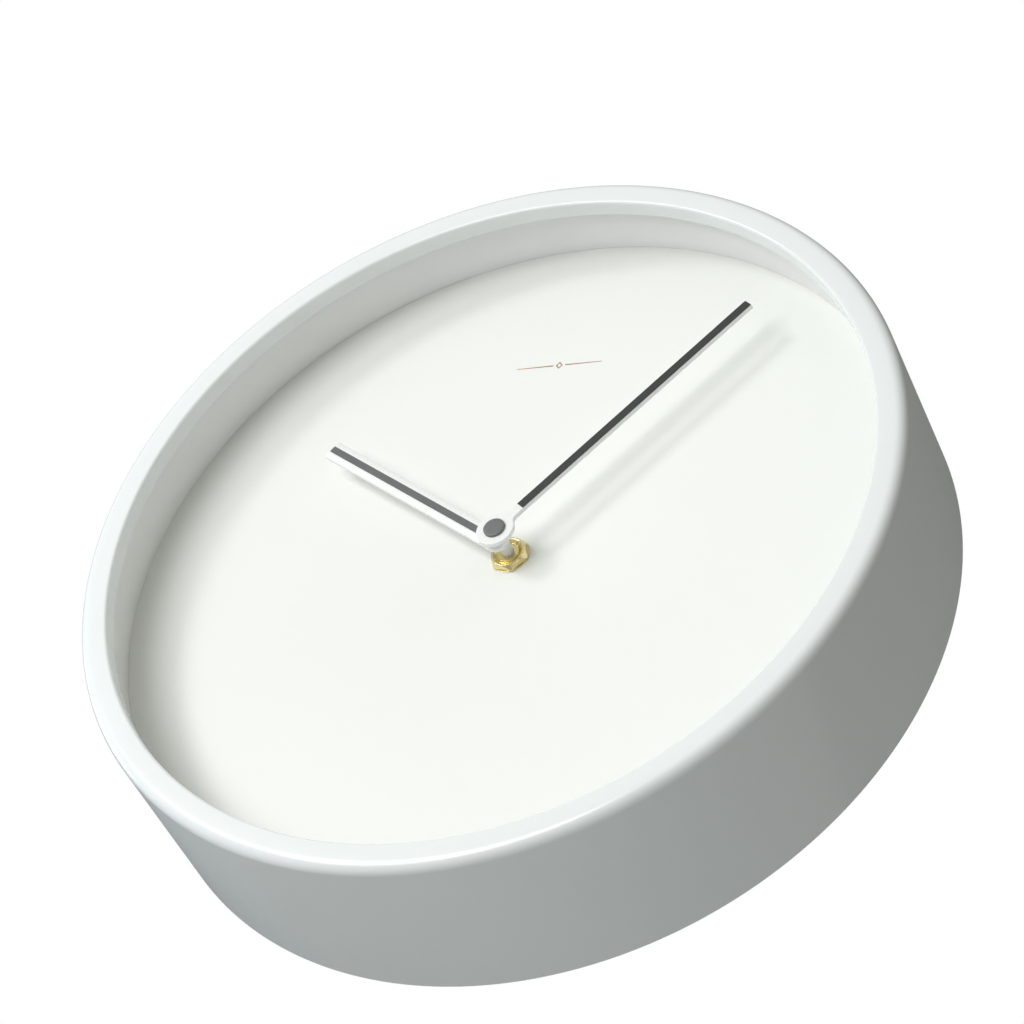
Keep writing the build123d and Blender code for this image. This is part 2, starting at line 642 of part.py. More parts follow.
def train_axes():
    return [KNOB, THIRD, SECONDS, STEP, ROTOR]


def movement_front():
    """Front half of the movement: plate, side walls, battery bay and posts."""
    wall = Pos(0, 0, MOV_BACK) * extrude(movement_outline(), MOV_DEPTH)
    hollow = Pos(0, 0, MOV_BACK) * extrude(movement_outline(MOV_WALL), MOV_DEPTH - MOV_WALL)
    body = wall - hollow
    half = MOV_W / 2 - MOV_WALL
    body += block(-half - 0.5, half + 0.5, BAY_TOP, BAY_TOP + MOV_WALL, MOV_BACK, INNER_FRONT)
    for spot in board_posts():
        body += disc(PEG_R, BOARD_Z + BOARD_T, INNER_FRONT, spot)
    body += disc(POST_R, MOTION_LAYER - PINION_EXTRA, INNER_FRONT, MOTION)
    peg = (COIL_X - COIL_L / 2 - STATOR_LIMB / 2, COIL_Y)
    body += disc(PEG_R, STATOR_Z + STATOR_T, INNER_FRONT, peg)
    body -= disc(BUSH_R, INNER_FRONT, MOV_FRONT)
    for spot in train_axes():
        body -= disc(PIVOT_R + RUN, INNER_FRONT, INNER_FRONT + PIVOT_IN + 0.1, spot)
    slot_low = BOARD_Z + BOARD_T - 0.1
    for side in (-1, 1):
        x = sorted((side * (CONTACT_X - 0.1), side * (CONTACT_X + CONTACT_T + 0.1)))
        body -= block(*x, BAY_TOP - 1, BAY_TOP + MOV_WALL + 1, slot_low, slot_low + 2.2)
    return body


def movement_back():
    """Rear half of the movement: it closes the train and leaves the battery bay open."""
    inner = movement_outline(MOV_WALL + 0.1)
    plate = Pos(0, 0, MOV_BACK) * extrude(inner, MOV_WALL)
    plate -= block(-MOV_W, MOV_W, MOV_BOTTOM - 1, BAY_TOP + MOV_WALL + 0.1, MOV_BACK - 1, INNER_BACK + 1)
    for spot in train_axes():
        plate -= disc(PIVOT_R + RUN, INNER_BACK - PIVOT_IN - 0.1, INNER_BACK, spot)
    return plate - disc(KNOB_SHAFT_R + RUN, MOV_BACK, INNER_BACK, KNOB)


def contact_plate(side):
    """Contact plate at one end of the battery."""
    x = sorted((side * CONTACT_X, side * (CONTACT_X + CONTACT_T)))
    return block(*x, CELL_Y - CONTACT_W / 2, CELL_Y + CONTACT_W / 2, CELL_Z - CONTACT_W / 2, CELL_Z + CONTACT_W / 2)


def contact_tail(side, reach):
    """Tail of a contact, through the bay's wall to the height of the board."""
    x = sorted((side * CONTACT_X, side * (CONTACT_X + CONTACT_T)))
    low = BOARD_Z + BOARD_T
    return block(*x, CELL_Y, reach, low, low + 2.0)


def contact_negative():
    return contact_plate(-1) + contact_tail(-1, BOARD_Y + 3)


def contact_positive():
    along = BAY_TOP + MOV_WALL + 0.2
    low = BOARD_Z + BOARD_T
    strip = block(BOARD_X + BOARD_W - 4, CONTACT_X + CONTACT_T, along, along + CONTACT_T, low, low + 2.0)
    foot = block(BOARD_X + BOARD_W - 4, BOARD_X + BOARD_W - 3, along, BOARD_Y + 3, low, low + CONTACT_T)
    return contact_plate(1) + contact_tail(1, along + CONTACT_T) + strip + foot


def battery_can():
    low = -CELL_L / 2
    body = along_x(CELL_R, low, CELL_L / 2 - CELL_NUB_L - CELL_CAP_L, CELL_Y, CELL_Z)
    return fillet(body.edges().sort_by(Axis.X)[0], 0.5)


def battery_cap():
    high = CELL_L / 2
    shoulder = high - CELL_NUB_L
    body = along_x(CELL_R - 0.3, shoulder - CELL_CAP_L, shoulder, CELL_Y, CELL_Z)
    return body + along_x(CELL_NUB_R, shoulder, high, CELL_Y, CELL_Z)


PARTS = {
    "case_shell": case_shell(),
    "lens_gasket": lens_gasket(),
    "lens_glass": disc(DISC_R, LENS_BACK, LENS_FRONT),
    "spacer_ring": ring(RING_BORE, DISC_R, DIAL, LENS_BACK),
    "dial_face": ring(BUSH_R + HOLE_SLIP, DISC_R, PLATE_FRONT, DIAL),
    "dial_plate": ring(BUSH_R + HOLE_SLIP, DISC_R, PLATE_BACK, PLATE_FRONT),
    "rear_sleeve": rear_sleeve(),
    "back_cover": back_cover(),
    "back_cover_screws": cover_screws(),
    "hanger_plate": hanger_plate(),
    "hanger_rivets": hanger_rivets(),
    "wall_bumpers": wall_bumpers(),
    "movement_front_case": movement_front(),
    "movement_back_case": movement_back(),
    "rubber_washer": ring(BUSH_R + RUN, SEAL_R, MOV_FRONT, PLATE_BACK),
    "threaded_bushing": threaded_bushing(),
    "nut_washer": ring(BUSH_R + RUN, WASHER_R, DIAL, NUT_BACK),
    "mounting_nut": mounting_nut(),
    "circuit_board": circuit_board(),
    "ic_chip": ic_chip(),
    "quartz_crystal": quartz_crystal(),
    "coil_bobbin": coil_bobbin(),
    "coil_winding": coil_winding(),
    "stator_plate": stator_plate(),
    "battery_contact_negative": contact_negative(),
    "battery_contact_positive": contact_positive(),
    "battery_can": battery_can(),
    "battery_cap": battery_cap(),
    "rotor_magnet": rotor_magnet(),
    "rotor_pinion": rotor_pinion(),
    "intermediate_wheel": intermediate_wheel(),
    "seconds_wheel": seconds_wheel(),
    "third_wheel": third_wheel(),
    "centre_wheel": centre_wheel(),
    "setting_knob": setting_knob(),
    "minute_wheel": minute_wheel(),
    "hour_wheel": hour_wheel(),
    "hour_hand": hour_hand(),
    "hour_hand_stripe": hour_hand_stripe(),
    "minute_shaft": minute_shaft(),
    "minute_hand": minute_hand(),
    "minute_hand_stripe": minute_hand_stripe(),
    "centre_cap": centre_cap(),
}


def write(name, shape):
    """Turn a piece into the clock's own frame and write it."""
    solids = [solid for piece in (shape if isinstance(shape, list) else [shape]) for solid in piece.solids()]
    stand = Pos(0, 0, -HANG_UP) * Rot(90, 0, 0)
    placed = [stand * solid for solid in solids]
    export_step(placed[0] if len(placed) == 1 else Compound(children=placed), "parts/" + name + ".step")


os.makedirs("parts", exist_ok=True)
for part_name, part_shape in PARTS.items():
    write(part_name, part_shape)
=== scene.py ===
"""Looks for a round battery wall clock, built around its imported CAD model.

Blender works in metres in the row frame: X right, Y into the wall, Z up. The clock's own sizes below are
in millimetres about the dial axis: x right and y up as the dial is seen, h out of the wall.
"""
import json
import math

import bmesh
import bpy
from mathutils import Matrix, Vector


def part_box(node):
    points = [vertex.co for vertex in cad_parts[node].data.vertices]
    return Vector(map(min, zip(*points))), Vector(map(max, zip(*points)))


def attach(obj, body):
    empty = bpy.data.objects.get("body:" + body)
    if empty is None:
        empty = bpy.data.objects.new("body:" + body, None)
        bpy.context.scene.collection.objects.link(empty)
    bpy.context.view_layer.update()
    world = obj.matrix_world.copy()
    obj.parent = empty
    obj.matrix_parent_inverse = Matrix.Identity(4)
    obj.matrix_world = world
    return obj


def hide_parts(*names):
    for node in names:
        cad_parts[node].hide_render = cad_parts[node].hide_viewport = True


MM = 0.001
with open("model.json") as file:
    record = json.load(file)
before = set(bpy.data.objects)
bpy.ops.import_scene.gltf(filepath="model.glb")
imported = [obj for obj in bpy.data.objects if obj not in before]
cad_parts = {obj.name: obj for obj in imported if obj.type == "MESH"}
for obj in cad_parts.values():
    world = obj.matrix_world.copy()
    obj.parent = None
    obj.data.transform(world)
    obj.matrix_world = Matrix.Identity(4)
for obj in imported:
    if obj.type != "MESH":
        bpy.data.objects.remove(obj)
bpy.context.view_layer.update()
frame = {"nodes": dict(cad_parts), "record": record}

# ---- places read from the frame ----
SHELL_LOW, SHELL_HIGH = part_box("case_shell")
AXIS = (SHELL_LOW + SHELL_HIGH) / 2


def front(node):
    """Height of a node's front out of the wall, in millimetres."""
    return -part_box(node)[0].y / MM


def back(node):
    """Height of a node's back out of the wall, in millimetres."""
    return -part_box(node)[1].y / MM


def half_width(node):
    """Half of a node's width, in millimetres."""
    low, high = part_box(node)
    return (high.x - low.x) / 2 / MM


CASE_R = half_width("case_shell")
RIM = front("case_shell")
LENS_FRONT, LENS_BACK = front("lens_glass"), back("lens_glass")
DISC_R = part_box("lens_glass")[1].x / MM
DIAL, DIAL_BACK = front("dial_face"), back("dial_face")
COVER_BACK = back("back_cover")
NUT_TOP, NUT_BACK = front("mounting_nut"), back("mounting_nut")
HOUR_TOP = front("hour_hand")
MINUTE_TOP = back("minute_hand_stripe")
INLAY_TOP = front("minute_hand_stripe")
CAP_TOP = front("centre_cap")
MOVEMENT_BACK = back("movement_front_case")

# ---- case ----
SHELL_WALL = 2.6
RING_WALL = 2.6
SHELL_BORE = CASE_R - SHELL_WALL
RING_BORE = DISC_R - RING_WALL
LIP_OVERHANG = 5.2
LIP_R = RING_BORE - LIP_OVERHANG
RIM_OUTER_ROUND, RIM_INNER_ROUND = 4.0, 1.17
EDGE_ROUND = 0.5
DIAL_HOLE_R = 4.3

# ---- hands ----
MINUTE_TURN = 39.0          # clockwise from twelve
HOUR_TURN = 303.25
HAND_T = 1.8
COLLAR_H = 1.7
MINUTE_PIPE_R, MINUTE_COLLAR_R = 1.25, 2.1
HOUR_PIPE_R, HOUR_COLLAR_R, HOUR_COLLAR_H = 2.12, 2.4, 1.0
MINUTE_HUB_R = half_width("nut_washer") + 0.1
MINUTE_W = 3.65
MINUTE_REACH = 121.4
MINUTE_INLAY_FROM = 12.0
MINUTE_INLAY_W = 3.35
INLAY_SHORT = 0.25          # the inlay ends this far before the blade's tip
NECK_R = 3.0
HOUR_W = 7.6
HOUR_REACH = 90.2
HOUR_ASIDE = 1.6
HOUR_EDGE = 1.2             # thickness of the hour hand's edges under its crown
HOUR_INLAY_FROM = 3.5
HOUR_INLAY_W = 2.65
HOUR_INLAY_SHORT = 0.3
CROWN_POWER = 2.2           # how late the crown falls away towards the edges
TIP_R = 0.4
INLAY_T = INLAY_TOP - MINUTE_TOP
CAP_R = half_width("centre_cap")
CAP_ROUND, CAP_EDGE = 0.3, 0.34

# ---- nut ----
NUT_FLATS = 12.7
BUSH_R = 4.0
SINK_R = 5.45
SINK_DEEP = 1.2
NUT_CROWN = 1.2             # taken off the corners' radius at the front
NUT_CROWN_H = 2.3
NUT_TURN = 46.8             # angle of one corner
BORE_GAP = 0.05

# ---- back ----
# ring of the rear cover: name, radius, width, height and rounding
COVER_RINGS = (("access_rim", 50.2, 2.4, 0.9, 0.3), ("cover_band_inner", 78.0, 1.6, 0.5, 0.2),
               ("cover_band_outer", 129.0, 1.6, 0.5, 0.2))
HANG_MARK = [(0, 137.0), (-3.2, 131.5), (3.2, 131.5)]
MARK_T = 0.4
ARROW_R, ARROW_W, ARROW_BARB, ARROW_T = 6.95, 0.9, 0.8, 0.35

LATHE_STEPS = 288

# ---- printed motif ----
MOTIF_UP = 88.0
MOTIF_W = 33.0
MOTIF_H = 3.3
MOTIF_LINE = 0.5
MOTIF_T = 0.03
DIAMOND_SHARE = 0.8         # its width as a share of its height
DIAMOND_GAP = 1.0
DIAMOND_OPEN = 0.6

# ---- view and light ----
CAMERA_LENS = 132.7
CAMERA_AZIMUTH = 30.0
CAMERA_ELEVATION = -37.07
CAMERA_ROLL = 14.39
CAMERA_DISTANCE = 1.2716
AIM_RIGHT = 0.0131
AIM_UP = -0.0053
FLOOR_DROP = 1.9
FLOOR_SIZE = 40.0
# lamp: direction from the clock, what a white face square to it gives back, width and distance in metres
LAMPS = {"soft": ((-0.33, -0.935, -0.13), 0.49, 0.90, 1.4),
         "key": ((-0.583, -0.782, 0.223), 0.208, 0.75, 3.0),
         "side": ((-0.97, 0.05, 0.15), 0.15, 1.0, 2.5),
         "rear": ((0.25, 0.95, 0.2), 0.34, 0.9, 2.5)}
SIDE_TINT = (0.80, 1.0, 1.08)
AMBIENT = 0.36              # light from all round
AMBIENT_TILT = (-0.182, -0.31, 0.0)     # how it grows along X, Y and Z
COOL_SIDE, WARM_SIDE = (0.93, 1.0, 1.02), (1.03, 1.0, 0.90)


def at(x, y, h):
    """Point in the row frame."""
    return Vector((AXIS.x + x * MM, -h * MM, AXIS.z + y * MM))


def polar(radius, degrees, start=(0, 0)):
    turn = math.radians(degrees)
    return (start[0] + radius * math.cos(turn), start[1] + radius * math.sin(turn))


def arc(centre, radius, start, end, steps=12):
    """Points along an arc between two angles, in degrees."""
    return [polar(radius, start + (end - start) * n / steps, centre) for n in range(steps + 1)]


def rounded(corners, steps=8):
    """Closed outline through corners (x, y, radius), with each corner turned into an arc."""
    points = []
    for n, (x, y, radius) in enumerate(corners):
        here = Vector((x, y))
        if not radius:
            points.append((x, y))
            continue
        before = (Vector(corners[n - 1][:2]) - here).normalized()
        after = (Vector(corners[(n + 1) % len(corners)][:2]) - here).normalized()
        half = before.angle(after) / 2
        centre = here + (before + after).normalized() * radius / math.sin(half)
        start = here + before * radius / math.tan(half) - centre
        sweep = math.pi - 2 * half
        if before.x * after.y - before.y * after.x > 0:
            sweep = -sweep
        for k in range(steps + 1):
            spoke = start.copy()
            spoke.rotate(Matrix.Rotation(sweep * k / steps, 2))
            points.append(tuple(centre + spoke))
    return points


# ---- materials ----
COAT_ROUGH = 0.06
WAVE_UNIT = 0.314           # wave texture's scale for one band in a metre
LENS_SHINE = 0.2            # a coated pane mirrors this share of what plain glass would


def new_material(name):
    material = bpy.data.materials.new(name)
    material.use_nodes = True
    nodes = material.node_tree.nodes
    return material, nodes, material.node_tree.links, nodes["Principled BSDF"]


def object_coordinates(nodes, links, stretch=(1, 1, 1)):
    place = nodes.new("ShaderNodeTexCoord")
    mapping = nodes.new("ShaderNodeMapping")
    mapping.inputs["Scale"].default_value = stretch
    links.new(place.outputs["Object"], mapping.inputs["Vector"])
    return mapping.outputs["Vector"]


def noise(nodes, links, vector, scale, detail=3.0):
    texture = nodes.new("ShaderNodeTexNoise")
    texture.inputs["Scale"].default_value = scale
    texture.inputs["Detail"].default_value = detail
    links.new(vector, texture.inputs["Vector"])
    return texture.outputs["Fac"]


def ramp(nodes, links, factor, *stops):
    """Colour ramp with (position, colour) stops."""
    node = nodes.new("ShaderNodeValToRGB")
    elements = node.color_ramp.elements
    while len(elements) < len(stops):
        elements.new(0.5)
    for element, (position, colour) in zip(elements, stops):
        element.position = position
        element.color = (*colour, 1)
    links.new(factor, node.inputs["Fac"])
    return node.outputs["Color"]


def spread(nodes, links, factor, low, high):
    """The factor's middle half spread over low to high."""
    node = nodes.new("ShaderNodeMapRange")
    for name, value in (("From Min", 0.25), ("From Max", 0.75), ("To Min", low), ("To Max", high)):
        node.inputs[name].default_value = value
    links.new(factor, node.inputs["Value"])
    return node.outputs["Result"]


def add_bump(nodes, links, shader, height, strength, depth):
    node = nodes.new("ShaderNodeBump")
    node.inputs["Strength"].default_value = strength
    node.inputs["Distance"].default_value = depth
    links.new(height, node.inputs["Height"])
    links.new(node.outputs["Normal"], shader.inputs["Normal"])


def finish_of(name, colour, rough, metal=0.0, tint=0.03, patch=25.0, grain=1500.0, strength=0.15,
              depth=0.00003, coat=0.0, stretch=(1, 1, 1), second=None):
    """Surface with slow colour patches, a fine grain that varies its gloss, and a shallow bump."""
    material, nodes, links, shader = new_material(name)
    plain = object_coordinates(nodes, links)
    drawn = object_coordinates(nodes, links, stretch)
    darker = second or tuple(part * (1 - tint) for part in colour)
    patches = ramp(nodes, links, noise(nodes, links, plain, patch), (0.3, darker), (0.7, colour))
    links.new(patches, shader.inputs["Base Color"])
    fine = noise(nodes, links, drawn, grain)
    links.new(spread(nodes, links, fine, *rough), shader.inputs["Roughness"])
    add_bump(nodes, links, shader, fine, strength, depth)
    shader.inputs["Metallic"].default_value = metal
    if coat:
        shader.inputs["Coat Weight"].default_value = coat
        shader.inputs["Coat Roughness"].default_value = COAT_ROUGH
    return material


def lens_material():
    """Clear pane: it lets light straight through and mirrors a little, more at a glance."""
    material, nodes, links, shader = new_material("clear_lens")
    nodes.remove(shader)
    fresnel = nodes.new("ShaderNodeFresnel")
    fresnel.inputs["IOR"].default_value = 1.55
    side = nodes.new("ShaderNodeNewGeometry")
    outside = nodes.new("ShaderNodeMath")
    outside.operation = "SUBTRACT"
    outside.inputs[0].default_value = 1.0
    links.new(side.outputs["Backfacing"], outside.inputs[1])
    dimmed = nodes.new("ShaderNodeMath")
    dimmed.operation = "MULTIPLY"
    dimmed.inputs[1].default_value = LENS_SHINE
    links.new(fresnel.outputs["Fac"], dimmed.inputs[0])
    share = nodes.new("ShaderNodeMath")
    share.operation = "MULTIPLY"
    links.new(dimmed.outputs["Value"], share.inputs[0])
    links.new(outside.outputs["Value"], share.inputs[1])
    clear = nodes.new("ShaderNodeBsdfTransparent")
    mirror = nodes.new("ShaderNodeBsdfGlossy")
    mirror.inputs["Roughness"].default_value = 0.02
    mix = nodes.new("ShaderNodeMixShader")
    links.new(share.outputs["Value"], mix.inputs["Fac"])
    links.new(clear.outputs["BSDF"], mix.inputs[1])
    links.new(mirror.outputs["BSDF"], mix.inputs[2])
    links.new(mix.outputs["Shader"], nodes["Material Output"].inputs["Surface"])
    return material


def banded(name, axis, width, first, second, rough, metal):
    """Fine turns of wire or knurling along one axis."""
    material, nodes, links, shader = new_material(name)
    wave = nodes.new("ShaderNodeTexWave")
    wave.bands_direction = axis
    wave.inputs["Scale"].default_value = WAVE_UNIT / (width * MM)
    links.new(object_coordinates(nodes, links), wave.inputs["Vector"])
    colour = ramp(nodes, links, wave.outputs["Fac"], (0.15, first), (0.6, second))
    links.new(colour, shader.inputs["Base Color"])
    fine = noise(nodes, links, object_coordinates(nodes, links), 900)
    links.new(spread(nodes, links, fine, *rough), shader.inputs["Roughness"])
    add_bump(nodes, links, shader, wave.outputs["Fac"], 0.6, 0.00006)
    shader.inputs["Metallic"].default_value = metal
    return material


def battery_material():
    """Plain dark wrap with a pale band near the positive end."""
    material, nodes, links, shader = new_material("battery_wrap")
    place = object_coordinates(nodes, links)
    split = nodes.new("ShaderNodeSeparateXYZ")
    links.new(place, split.inputs["Vector"])
    low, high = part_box("battery_can")
    along = nodes.new("ShaderNodeMapRange")
    along.inputs["From Min"].default_value = low.x
    along.inputs["From Max"].default_value = high.x
    links.new(split.outputs["X"], along.inputs["Value"])
    dark, pale = (0.035, 0.06, 0.11), (0.55, 0.57, 0.60)
    colour = ramp(nodes, links, along.outputs["Result"],
                  (0.0, dark), (0.80, dark), (0.803, pale), (0.9, pale), (0.903, dark))
    links.new(colour, shader.inputs["Base Color"])
    fine = noise(nodes, links, place, 500)
    links.new(spread(nodes, links, fine, 0.22, 0.32), shader.inputs["Roughness"])
    add_bump(nodes, links, shader, fine, 0.1, 0.00003)
    return material


LOOKS = {
    "case_paint": finish_of("case_paint", (0.84, 0.87, 0.875), (0.20, 0.27), tint=0.012, grain=700,
                            strength=0.05, depth=0.00002, coat=0.35),
    "inner_white": finish_of("inner_white", (0.93, 0.935, 0.925), (0.34, 0.44), tint=0.015, grain=1200,
                             strength=0.06),
    "lens": lens_material(),
    "seal_foam": finish_of("seal_foam", (0.05, 0.05, 0.052), (0.7, 0.9), tint=0.3, patch=400, strength=0.4),
    "dial_print": finish_of("dial_print", (0.885, 0.90, 0.87), (0.5, 0.62), tint=0.008, patch=14,
                            grain=2600, strength=0.08, depth=0.00002),
    "dial_board": finish_of("dial_board", (0.72, 0.72, 0.70), (0.5, 0.6), tint=0.04),
    "back_plastic": finish_of("back_plastic", (0.74, 0.75, 0.75), (0.42, 0.58), tint=0.03, patch=18,
                              grain=1800, strength=0.35, depth=0.00006),
    "steel_zinc": finish_of("steel_zinc", (0.72, 0.73, 0.75), (0.24, 0.42), metal=1,
                            second=(0.60, 0.62, 0.65), patch=160, grain=260, stretch=(1, 1, 12),
                            strength=0.12),
    "bumper_rubber": finish_of("bumper_rubber", (0.045, 0.045, 0.047), (0.6, 0.8), tint=0.2, patch=200,
                               strength=0.25),
    "movement_black": finish_of("movement_black", (0.022, 0.022, 0.024), (0.38, 0.55), tint=0.2, patch=60,
                                grain=1600, strength=0.3, depth=0.00005),
    "brass_yellow": finish_of("brass_yellow", (0.86, 0.74, 0.40), (0.08, 0.16), metal=1,
                              second=(0.80, 0.66, 0.30), patch=220, grain=900, strength=0.05,
                              depth=0.00002),
    "rubber_black": finish_of("rubber_black", (0.02, 0.02, 0.02), (0.6, 0.8), tint=0.2, patch=200,
                              strength=0.25),
    "board_green": finish_of("board_green", (0.02, 0.13, 0.05), (0.28, 0.4), second=(0.03, 0.18, 0.08),
                             patch=420, grain=1400, strength=0.2),
    "chip_epoxy": finish_of("chip_epoxy", (0.012, 0.012, 0.013), (0.18, 0.3), tint=0.2, patch=300),
    "crystal_can": finish_of("crystal_can", (0.75, 0.76, 0.78), (0.16, 0.3), metal=1, patch=300,
                             stretch=(0.1, 1, 1)),
    "bobbin_white": finish_of("bobbin_white", (0.78, 0.76, 0.70), (0.35, 0.5), tint=0.05, patch=120),
    "copper_wire": banded("copper_wire", "X", 0.25, (0.22, 0.07, 0.03), (0.80, 0.34, 0.15), (0.2, 0.35),
                          1.0),
    "stator_steel": finish_of("stator_steel", (0.50, 0.51, 0.53), (0.3, 0.45), metal=1, patch=200,
                              stretch=(0.1, 1, 1)),
    "contact_nickel": finish_of("contact_nickel", (0.80, 0.79, 0.74), (0.16, 0.3), metal=1, patch=200,
                                stretch=(1, 1, 0.1)),
    "battery_wrap": battery_material(),
    "battery_steel": finish_of("battery_steel", (0.80, 0.80, 0.80), (0.14, 0.26), metal=1, patch=300),
    "magnet_dark": finish_of("magnet_dark", (0.10, 0.10, 0.11), (0.4, 0.6), metal=0.8, tint=0.25,
                             patch=500),
    "gear_nylon": finish_of("gear_nylon", (0.80, 0.79, 0.73), (0.3, 0.42), tint=0.04, patch=200),
    "knob_plastic": finish_of("knob_plastic", (0.50, 0.50, 0.50), (0.35, 0.5), tint=0.06, patch=160,
                              strength=0.25),
    "hand_white": finish_of("hand_white", (0.90, 0.91, 0.905), (0.24, 0.32), tint=0.01, patch=60,
                            grain=1200, strength=0.04, depth=0.00002, coat=0.2),
    "stripe_black": finish_of("stripe_black", (0.030, 0.030, 0.029), (0.34, 0.46), tint=0.15, patch=160,
                              grain=1600, stretch=(1, 1, 0.2), strength=0.08),
    "stripe_grey": finish_of("stripe_grey", (0.14, 0.145, 0.145), (0.26, 0.36), tint=0.12, patch=160,
                             grain=1600, stretch=(0.3, 1, 1), strength=0.08),
    "shaft_white": finish_of("shaft_white", (0.84, 0.84, 0.83), (0.3, 0.4), tint=0.02, patch=200),
    "shaft_steel": finish_of("shaft_steel", (0.70, 0.70, 0.72), (0.18, 0.3), metal=1, patch=300,
                             stretch=(1, 8, 1)),
    "cap_grey": finish_of("cap_grey", (0.16, 0.165, 0.165), (0.42, 0.52), tint=0.08, patch=300,
                          strength=0.1),
}
MOTIF_LOOK = finish_of("motif_copper", (0.50, 0.19, 0.07), (0.35, 0.5), metal=0.3, second=(0.40, 0.14, 0.05),
                       patch=500)


# ---- pieces ----
def settle(name, mesh, slot, body, look=None, hides=(), sharp=35, soften=0.0):
    """Finish a piece's mesh: outward faces, smooth shading up to an angle, and a rounded edge if asked."""
    bmesh.ops.remove_doubles(mesh, verts=mesh.verts, dist=1e-7)
    bmesh.ops.recalc_face_normals(mesh, faces=mesh.faces)
    data = bpy.data.meshes.new(name)
    mesh.to_mesh(data)
    mesh.free()
    data.shade_smooth()
    data.set_sharp_from_angle(angle=math.radians(sharp))
    piece = bpy.data.objects.new(name, data)
    bpy.context.scene.collection.objects.link(piece)
    piece.data.materials.append(look or LOOKS[slot])
    if soften:
        round_edges(piece, soften)
    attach(piece, body)
    if hides:
        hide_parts(*hides)
    return piece


def round_edges(piece, width, segments=3):
    bevel = piece.modifiers.new("rounded_edges", "BEVEL")
    bevel.width = width * MM
    bevel.segments = segments
    bevel.limit_method = "ANGLE"
    bevel.angle_limit = math.radians(40)
    bevel.harden_normals = True


def lathe(name, profile, slot, body="case", centre=(0, 0), steps=LATHE_STEPS, **more):
    """Turned piece about a line along the dial axis.

    profile is a closed list of (radius, h), or a function that gives one for an angle.
    """
    mesh = bmesh.new()
    rings = []
    for n in range(steps):
        turn = 360 * n / steps
        outline = profile(turn) if callable(profile) else profile
        rings.append([mesh.verts.new(at(*polar(r, turn, centre), h)) for r, h in outline])
    for n, ring in enumerate(rings):
        following = rings[(n + 1) % steps]
        for k in range(len(ring)):
            j = (k + 1) % len(ring)
            mesh.faces.new((ring[k], ring[j], following[j], following[k]))
    return settle(name, mesh, slot, body, **more)


def turned(points, degrees):
    """Outline points turned clockwise about the dial axis."""
    turn = math.radians(-degrees)
    along, across = math.cos(turn), math.sin(turn)
    return [(x * along - y * across, x * across + y * along) for x, y in points]


def add_plate(mesh, outline, low, high):
    """Flat plate with an outline, between two heights."""
    bottom = [mesh.verts.new(at(x, y, low)) for x, y in outline]
    top = [mesh.verts.new(at(x, y, high)) for x, y in outline]
    mesh.faces.new(bottom)
    mesh.faces.new(top)
    for n in range(len(outline)):
        j = (n + 1) % len(outline)
        mesh.faces.new((bottom[n], bottom[j], top[j], top[n]))


def plate(name, outlines, low, high, slot, body, **more):
    """Piece made of one or several flat plates."""
    mesh = bmesh.new()
    for outline in outlines:
        add_plate(mesh, outline, low, high)
    return settle(name, mesh, slot, body, **more)


def make_case():
    """Case shell with its rolled rim and lip, the dial's inner wall, the lens and the dial."""
    lip_skirt = LIP_R + SHELL_WALL
    under_rim = RIM - SHELL_WALL
    shell = rounded([(CASE_R, 0, EDGE_ROUND), (CASE_R, RIM, RIM_OUTER_ROUND), (LIP_R, RIM, RIM_INNER_ROUND),
                     (LIP_R, LENS_FRONT, 0.3), (lip_skirt, LENS_FRONT, 0.3), (lip_skirt, under_rim, 0.2),
                     (SHELL_BORE, under_rim, 0.2), (SHELL_BORE, 0, EDGE_ROUND)], steps=10)
    lathe("case_drum", shell, "case_paint", hides=["case_shell"])
    wall = rounded([(RING_BORE, DIAL, 0.25), (DISC_R, DIAL, 0), (DISC_R, LENS_BACK, 0),
                    (RING_BORE, LENS_BACK, 0.4)], steps=4)
    lathe("spacer_wall", wall, "inner_white", hides=["spacer_ring"])
    pane = [(0, LENS_BACK), (DISC_R, LENS_BACK), (DISC_R, LENS_FRONT), (0, LENS_FRONT)]
    lathe("lens_pane", pane, "lens", hides=["lens_glass"])
    sheet = rounded([(DIAL_HOLE_R, DIAL_BACK, 0), (DISC_R, DIAL_BACK, 0), (DISC_R, DIAL, 0),
                     (DIAL_HOLE_R, DIAL, 0.12)], steps=3)
    lathe("dial_sheet", sheet, "dial_print", hides=["dial_face"])


def make_motif():
    """Plain ornament: a fine line broken by a small open diamond."""
    half, high, thin = MOTIF_W / 2, MOTIF_H / 2, MOTIF_LINE / 2
    wide = high * DIAMOND_SHARE
    gap = wide + DIAMOND_GAP
    tip = thin / 2
    lines = [[(side * gap, MOTIF_UP - thin), (side * half, MOTIF_UP - tip),
              (side * half, MOTIF_UP + tip), (side * gap, MOTIF_UP + thin)] for side in (-1, 1)]
    mesh = bmesh.new()
    for line in lines:
        add_plate(mesh, line, DIAL, DIAL + MOTIF_T)
    outer = [(wide, 0), (0, high), (-wide, 0), (0, -high)]
    inner = [(x * DIAMOND_OPEN, y * DIAMOND_OPEN) for x, y in outer]
    for n in range(len(outer)):
        j = (n + 1) % len(outer)
        side = [outer[n], outer[j], inner[j], inner[n]]
        add_plate(mesh, [(x, y + MOTIF_UP) for x, y in side], DIAL, DIAL + MOTIF_T)
    settle("dial_motif", mesh, "copper_wire", "case", look=MOTIF_LOOK)


